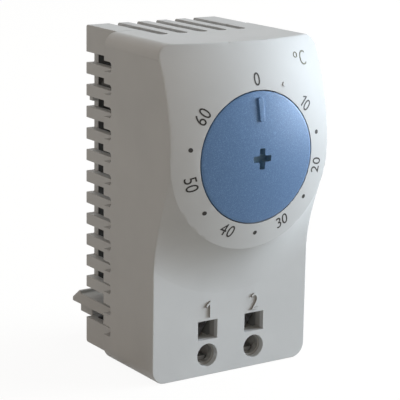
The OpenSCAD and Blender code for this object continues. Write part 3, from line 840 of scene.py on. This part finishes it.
def cutPlusSlot(dial, look):
    long, short = look["slotLong"], look["slotShort"]
    floor = -look["slotFloor"]
    points = []
    for turn in range(4):
        quarter = Matrix.Rotation(-turn * math.pi / 2, 3, "Y")
        for x, z in ((-short, long), (short, long), (short, short)):
            points.append(quarter.inverted() @ Vector((x, 0, z)) + Vector((0, floor, dialZ)))
    bm = bmesh.new()
    drawOutline(bm, (0, 1, 0), points[0], [(point,) for point in points[1:]])
    bmesh.ops.bevel(bm, geom=bm.verts[:], offset=look["slotCorner"], segments=4, profile=0.5,
                    affect="VERTICES", material=-1)
    pushOut(bm, (0, -look["slotCut"], 0))
    carve(dial, bm)


settingDial = turnCap(dialShape)
addStopPin(settingDial, dialShape)
cutSocket(settingDial, dialShape)
addPointer(settingDial, dialShape)
cutPlusSlot(settingDial, dialShape)
finishPiece(settingDial, "dial", "dial_blue", dialBlue, "setting_dial")
print("dial", len(settingDial.data.polygons), "faces")

# printed scale on the dome, raised marks on the cover
scaleLook = {
    "numbers": (0, 10, 20, 30, 40, 50, 60), "radius": 13.45, "step": 51, "height": 2.2,
    "narrow": 0.88, "ink": 0.03, "inkSunk": 0.02, "dotRadius": 0.39, "dotRaised": 0.15,
    "bold": 0, "spacing": 0.1, "merge": 0.005,
    "longest": 0.7,  # longer edges are halved, so that they follow the dome
    "degreeX": 9.8, "degreeZ": 57.0, "degreeRing": 0.5, "degreeHole": 0.68,
    "letterX": 11.6, "letterZ": 56.35, "letterHeight": 2.4, "letterBold": -0.012, "letterNarrow": 0.8,
    "markRaised": 0.06, "markSunk": 0.05, "digitBold": -0.012, "digitRaised": 0.36,
    "digitHeight": 3.0, "digitX": 5.0, "digitZ": 10.75,
    "one": ((0.33, 0), (0.33, 0.68), (0.25, 0.68), (0.05, 0.53), (0.05, 0.43), (0.235, 0.56), (0.235, 0)),
}


def drawGlyph(sign, bold):
    # the default font's one has no flag, so that sign is drawn here
    bm = bmesh.new()
    if sign == "1":
        points = [(x, z, 0) for x, z in scaleLook["one"]]
        drawOutline(bm, (0, 0, 1), points[0], [(point,) for point in points[1:]])
        return bm
    curve = bpy.data.curves.new("glyph", "FONT")
    curve.body = sign
    curve.offset = bold
    curve.resolution_u = 4
    obj = bpy.data.objects.new("glyph", curve)
    bpy.context.scene.collection.objects.link(obj)
    mesh = bpy.data.meshes.new_from_object(obj.evaluated_get(bpy.context.evaluated_depsgraph_get()))
    bpy.data.objects.remove(obj)
    bm.from_mesh(mesh)
    bpy.data.meshes.remove(mesh)
    return bm


alongText, upText = 0, 1  # axes of a sign before it is turned to the front


def span(bm, axis):
    places = [vert.co[axis] for vert in bm.verts]
    return min(places), max(places)


def glyphMesh(text, height, narrow, bold):
    # signs side by side, their middle at the origin, facing the front
    joined = bmesh.new()
    place = 0
    for sign in text:
        bm = drawGlyph(sign, bold)
        low, high = span(bm, alongText)
        bmesh.ops.translate(bm, vec=(place - low, 0, 0), verts=bm.verts[:])
        place += high - low + scaleLook["spacing"]
        pourInto(joined, bm)
    left, right = span(joined, alongText)
    low, high = span(joined, upText)
    bmesh.ops.translate(joined, vec=(-(left + right) / 2, -(low + high) / 2, 0), verts=joined.verts[:])
    grow = height / (high - low)
    bmesh.ops.scale(joined, vec=(grow * narrow, grow, 1), verts=joined.verts[:])
    bmesh.ops.rotate(joined, verts=joined.verts[:], matrix=Matrix.Rotation(math.pi / 2, 3, "X"))
    bmesh.ops.remove_doubles(joined, verts=joined.verts[:], dist=scaleLook["merge"])
    return inOrder(joined)


def raiseMark(bm, depthAt, sunk, proud):
    # flat mark facing the front becomes a thin raised one that follows the surface
    bmesh.ops.triangulate(bm, faces=bm.faces[:])
    long = [edge for edge in bm.edges if edge.calc_length() > scaleLook["longest"]]
    bmesh.ops.subdivide_edges(bm, edges=long, cuts=1)
    made = bmesh.ops.extrude_face_region(bm, geom=bm.faces[:])
    top = set(movedVerts(made))
    for vert in bm.verts:
        vert.co.y = depthAt(vert.co) + (-proud if vert in top else sunk)
    bmesh.ops.recalc_face_normals(bm, faces=bm.faces[:])


def onDome(place):
    return domeDepth(math.hypot(place.x, place.z - dialZ))


def onLowerFront(place):
    return -coverLook["lowerFront"]


def joinMarks(name, marks):
    joined = bmesh.new()
    for bm in marks:
        pourInto(joined, bm)
    return newObject(name, joined)


def placeOnScale(bm, degrees, radius, turn):
    bmesh.ops.rotate(bm, verts=bm.verts[:], matrix=Matrix.Rotation(math.radians(turn), 3, "Y"))
    angle = math.radians(degrees)
    bmesh.ops.translate(bm, vec=(radius * math.sin(angle), 0, dialZ + radius * math.cos(angle)),
                        verts=bm.verts[:])


def drawScale(look):
    # printed numbers and dots, and the raised dot between the first two numbers
    inked, raised = [], []
    for index, number in enumerate(look["numbers"]):
        degrees = index * look["step"]
        bm = glyphMesh(str(number), look["height"], look["narrow"], look["bold"])
        inward = 90 < degrees < 270  # these read with their tops to the dial
        placeOnScale(bm, degrees, look["radius"], degrees - 180 if inward else degrees)
        raiseMark(bm, onDome, look["inkSunk"], look["ink"])
        inked.append(bm)
        if number < look["numbers"][-1]:
            dot = bmesh.new()
            bmesh.ops.create_circle(dot, cap_ends=True, segments=24, radius=look["dotRadius"],
                                    matrix=Matrix.Rotation(math.pi / 2, 4, "X"))
            placeOnScale(dot, degrees + look["step"] / 2, look["radius"], 0)
            raiseMark(dot, onDome, look["inkSunk"], look["ink"] if index else look["dotRaised"])
            (inked if index else raised).append(dot)
    return inked, raised


def drawUnit(look):
    ring = bmesh.new()
    drawWire(ring, (0, 1, 0), (look["degreeRing"], 0, 0), [((0, 0, 0), 360, 32)])
    bmesh.ops.remove_doubles(ring, verts=ring.verts[:], dist=mergeReach)
    made = bmesh.ops.extrude_edge_only(ring, edges=ring.edges[:])
    hole = look["degreeHole"]
    bmesh.ops.scale(ring, vec=(hole, 1, hole), verts=movedVerts(made))
    bmesh.ops.translate(ring, vec=(look["degreeX"], 0, look["degreeZ"]), verts=ring.verts[:])
    ring = inOrder(ring)
    raiseMark(ring, onDome, look["markSunk"], look["markRaised"])
    narrow = look["narrow"] * look["letterNarrow"]
    letter = glyphMesh("C", look["letterHeight"], narrow, look["letterBold"])
    bmesh.ops.translate(letter, vec=(look["letterX"], 0, look["letterZ"]), verts=letter.verts[:])
    raiseMark(letter, onDome, look["markSunk"], look["markRaised"])
    return [ring, letter]


def drawDigits(look):
    digits = []
    middle = look["digitZ"] + look["digitHeight"] / 2
    for text, side in (("1", -1), ("2", 1)):
        digit = glyphMesh(text, look["digitHeight"], look["narrow"], look["digitBold"])
        bmesh.ops.translate(digit, vec=(side * look["digitX"], 0, middle), verts=digit.verts[:])
        raiseMark(digit, onLowerFront, look["markSunk"], look["digitRaised"])
        digits.append(digit)
    return digits


inkedSigns, raisedDots = drawScale(scaleLook)
scalePrint = joinMarks("scalePrint", inkedSigns)
raisedMarks = joinMarks("raisedMarks", raisedDots + drawDigits(scaleLook))
unitMark = joinMarks("unitMark", drawUnit(scaleLook))
finishPiece(scalePrint, "housing", "housing_grey", scaleInk)
finishPiece(raisedMarks, "housing", "housing_grey", digitGrey)
finishPiece(unitMark, "housing", "housing_grey", markOlive)
print("scale and marks ready")

# wound spring between the base and the setting arm
springLook = {
    "height": 46.2, "coil": 2.3, "wire": 0.28, "sides": 12, "steps": 24, "back": 1.85,
    "turns": ((1, 0.6), (6, 1.245), (1, 0.6)),  # number of turns and their pitch
    "keep": 0.9616,  # share of its length with the arm fully down
}


def buildSpring(look):
    bm = bmesh.new()
    middle = (0, -look["back"], look["height"])
    across = Matrix.Translation((look["coil"], -look["back"], look["height"]))
    bmesh.ops.create_circle(bm, segments=look["sides"], radius=look["wire"], matrix=across)
    last = bm.edges[:]
    for turns, pitch in look["turns"]:
        rise = (0, -pitch / look["steps"], 0)
        made = bmesh.ops.spin(bm, geom=last, cent=middle, axis=(0, 1, 0), dvec=rise,
                              angle=turns * math.tau, steps=turns * look["steps"], use_merge=False)
        last = [part for part in made["geom_last"] if isinstance(part, bmesh.types.BMEdge)]
    bmesh.ops.holes_fill(bm, edges=[edge for edge in bm.edges if edge.is_boundary], sides=0)
    bmesh.ops.recalc_face_normals(bm, faces=bm.faces[:])
    return newObject("armSpring", bm)


armSpring = buildSpring(springLook)
finishPiece(armSpring, "housing", "spring_steel", springSteel, "arm_spring")
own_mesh(armSpring)
print("spring", len(armSpring.data.polygons), "faces")

# finishes of the inner parts that keep their solids
innerFinish = {
    "dial_washer": springSteel, "adjusting_spindle": turnedBrass, "spindle_bush": turnedBrass,
    "switch_carrier": carrierDark, "carrier_screws": springSteel, "arm_bracket": turnedBrass,
    "pivot_pin": springSteel, "bracket_rivets": turnedBrass, "setting_arm": springSteel,
    "calibration_screw": turnedBrass, "bimetal_strip": bimetalStrip,
    "bimetal_rivets": springSteel, "moving_contact": contactSilver, "fixed_contact": contactSilver,
    "snap_magnet": magnetBlack, "armature": springSteel, "terminal_bar_1": tinnedCopper,
    "terminal_bar_2": tinnedCopper, "clamp_spring_1": springSteel, "clamp_spring_2": springSteel,
}
for node, material in innerFinish.items():
    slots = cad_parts[node].data.materials
    slots.clear()
    slots.append(material)
print("inner parts dressed")

# floor, light and camera
studioLook = {
    "floorSize": 4, "floorDrop": 0.00002, "floorColour": (0.5, 0.485, 0.455),
    "glow": 0.8, "glowStrength": 1.16, "worldColour": (1.13, 1.0, 0.87), "worldLight": 0.353,
}
# azimuths are counted from straight in front, to the right
lampLooks = {
    "keyLamp": {"azimuth": 69, "elevation": 6, "size": 0.9, "power": 19.1, "colour": (0.89, 1.0, 1.1)},
    "highLamp": {"azimuth": 88, "elevation": 52, "size": 0.8, "power": 2.1, "colour": (0.8, 1.0, 1.12)},
}
viewLook = {
    "azimuth": 33.847, "elevation": 13.377, "roll": 0.924, "distance": 297.491,
    "target": (0.767, -16, 28.984), "lens": 147.281, "sensor": 36, "clipStart": 0.01,
}


def addWhiteShare(nodes, links):
    # 1 for the camera, for reflections and for light through glass
    seen = nodes.new("ShaderNodeLightPath")
    share = seen.outputs["Is Camera Ray"]
    for ray in ("Is Glossy Ray", "Is Transmission Ray"):
        share = addMath(nodes, links, "MAXIMUM", share, seen.outputs[ray])
    return share


def buildFloor(look):
    bm = bmesh.new()
    bmesh.ops.create_grid(bm, x_segments=1, y_segments=1, size=look["floorSize"] / 2)
    bmesh.ops.translate(bm, vec=(0, 0, coverLow.z - look["floorDrop"]), verts=bm.verts[:])
    floor = newObject("floor", bm)
    material = bpy.data.materials.new("paleFloor")
    material.use_nodes = True
    nodes = material.node_tree.nodes
    links = material.node_tree.links
    nodes.clear()
    output = nodes.new("ShaderNodeOutputMaterial")
    matt = nodes.new("ShaderNodeBsdfDiffuse")
    matt.inputs["Color"].default_value = (*look["floorColour"], 1)
    white = nodes.new("ShaderNodeEmission")
    white.inputs["Strength"].default_value = look["glowStrength"]
    part = nodes.new("ShaderNodeMixShader")  # mostly white to the camera, with the shadow kept
    part.inputs["Fac"].default_value = look["glow"]
    pick = nodes.new("ShaderNodeMixShader")
    links.new(matt.outputs["BSDF"], part.inputs[1])
    links.new(white.outputs["Emission"], part.inputs[2])
    links.new(addWhiteShare(nodes, links), pick.inputs["Fac"])
    links.new(matt.outputs["BSDF"], pick.inputs[1])
    links.new(part.outputs["Shader"], pick.inputs[2])
    links.new(pick.outputs["Shader"], output.inputs["Surface"])
    floor.data.materials.append(material)


def buildWorld(look):
    world = bpy.data.worlds.new("studio")
    bpy.context.scene.world = world
    world.use_nodes = True
    nodes = world.node_tree.nodes
    links = world.node_tree.links
    nodes.clear()
    output = nodes.new("ShaderNodeOutputWorld")
    light = nodes.new("ShaderNodeBackground")
    light.inputs["Color"].default_value = (*look["worldColour"], 1)
    light.inputs["Strength"].default_value = look["worldLight"]
    white = nodes.new("ShaderNodeBackground")
    white.inputs["Strength"].default_value = 1
    white.inputs["Color"].default_value = (1, 1, 1, 1)
    pick = nodes.new("ShaderNodeMixShader")
    links.new(addWhiteShare(nodes, links), pick.inputs["Fac"])
    links.new(light.outputs["Background"], pick.inputs[1])
    links.new(white.outputs["Background"], pick.inputs[2])
    links.new(pick.outputs["Shader"], output.inputs["Surface"])


def addLamp(name, look):
    # round lamp a metre from the middle
    across, up = math.radians(look["azimuth"]), math.radians(look["elevation"])
    place = (math.sin(across) * math.cos(up), -math.cos(across) * math.cos(up), math.sin(up))
    lamp = bpy.data.lights.new(name, "AREA")
    lamp.shape = "DISK"
    lamp.size = look["size"]
    lamp.energy = look["power"]
    lamp.color = look["colour"]
    obj = bpy.data.objects.new(name, lamp)
    obj.location = place
    obj.rotation_euler = Vector(place).to_track_quat("Z", "Y").to_euler()
    bpy.context.scene.collection.objects.link(obj)


def buildCamera(look):
    azimuth = math.radians(look["azimuth"])
    elevation = math.radians(look["elevation"])
    roll = math.radians(look["roll"])
    ahead = Vector((math.sin(azimuth) * math.cos(elevation), math.cos(azimuth) * math.cos(elevation),
                    -math.sin(elevation)))
    level = Vector((math.cos(azimuth), -math.sin(azimuth), 0))
    above = level.cross(ahead)
    right = math.cos(roll) * level + math.sin(roll) * above
    top = -math.sin(roll) * level + math.cos(roll) * above
    eye = toFrame @ (Vector(look["target"]) - look["distance"] * ahead)
    camera = bpy.data.objects.new("camera", bpy.data.cameras.new("camera"))
    camera.data.lens = look["lens"]
    camera.data.sensor_width = look["sensor"]
    camera.data.clip_start = look["clipStart"]
    camera.matrix_world = Matrix.Translation(eye) @ Matrix((right, top, -ahead)).transposed().to_4x4()
    bpy.context.scene.collection.objects.link(camera)
    bpy.context.scene.camera = camera


buildFloor(studioLook)
buildWorld(studioLook)
for lampName, lampLook in lampLooks.items():
    addLamp(lampName, lampLook)
buildCamera(viewLook)
bpy.context.scene.view_settings.view_transform = "Standard"
print("studio ready")
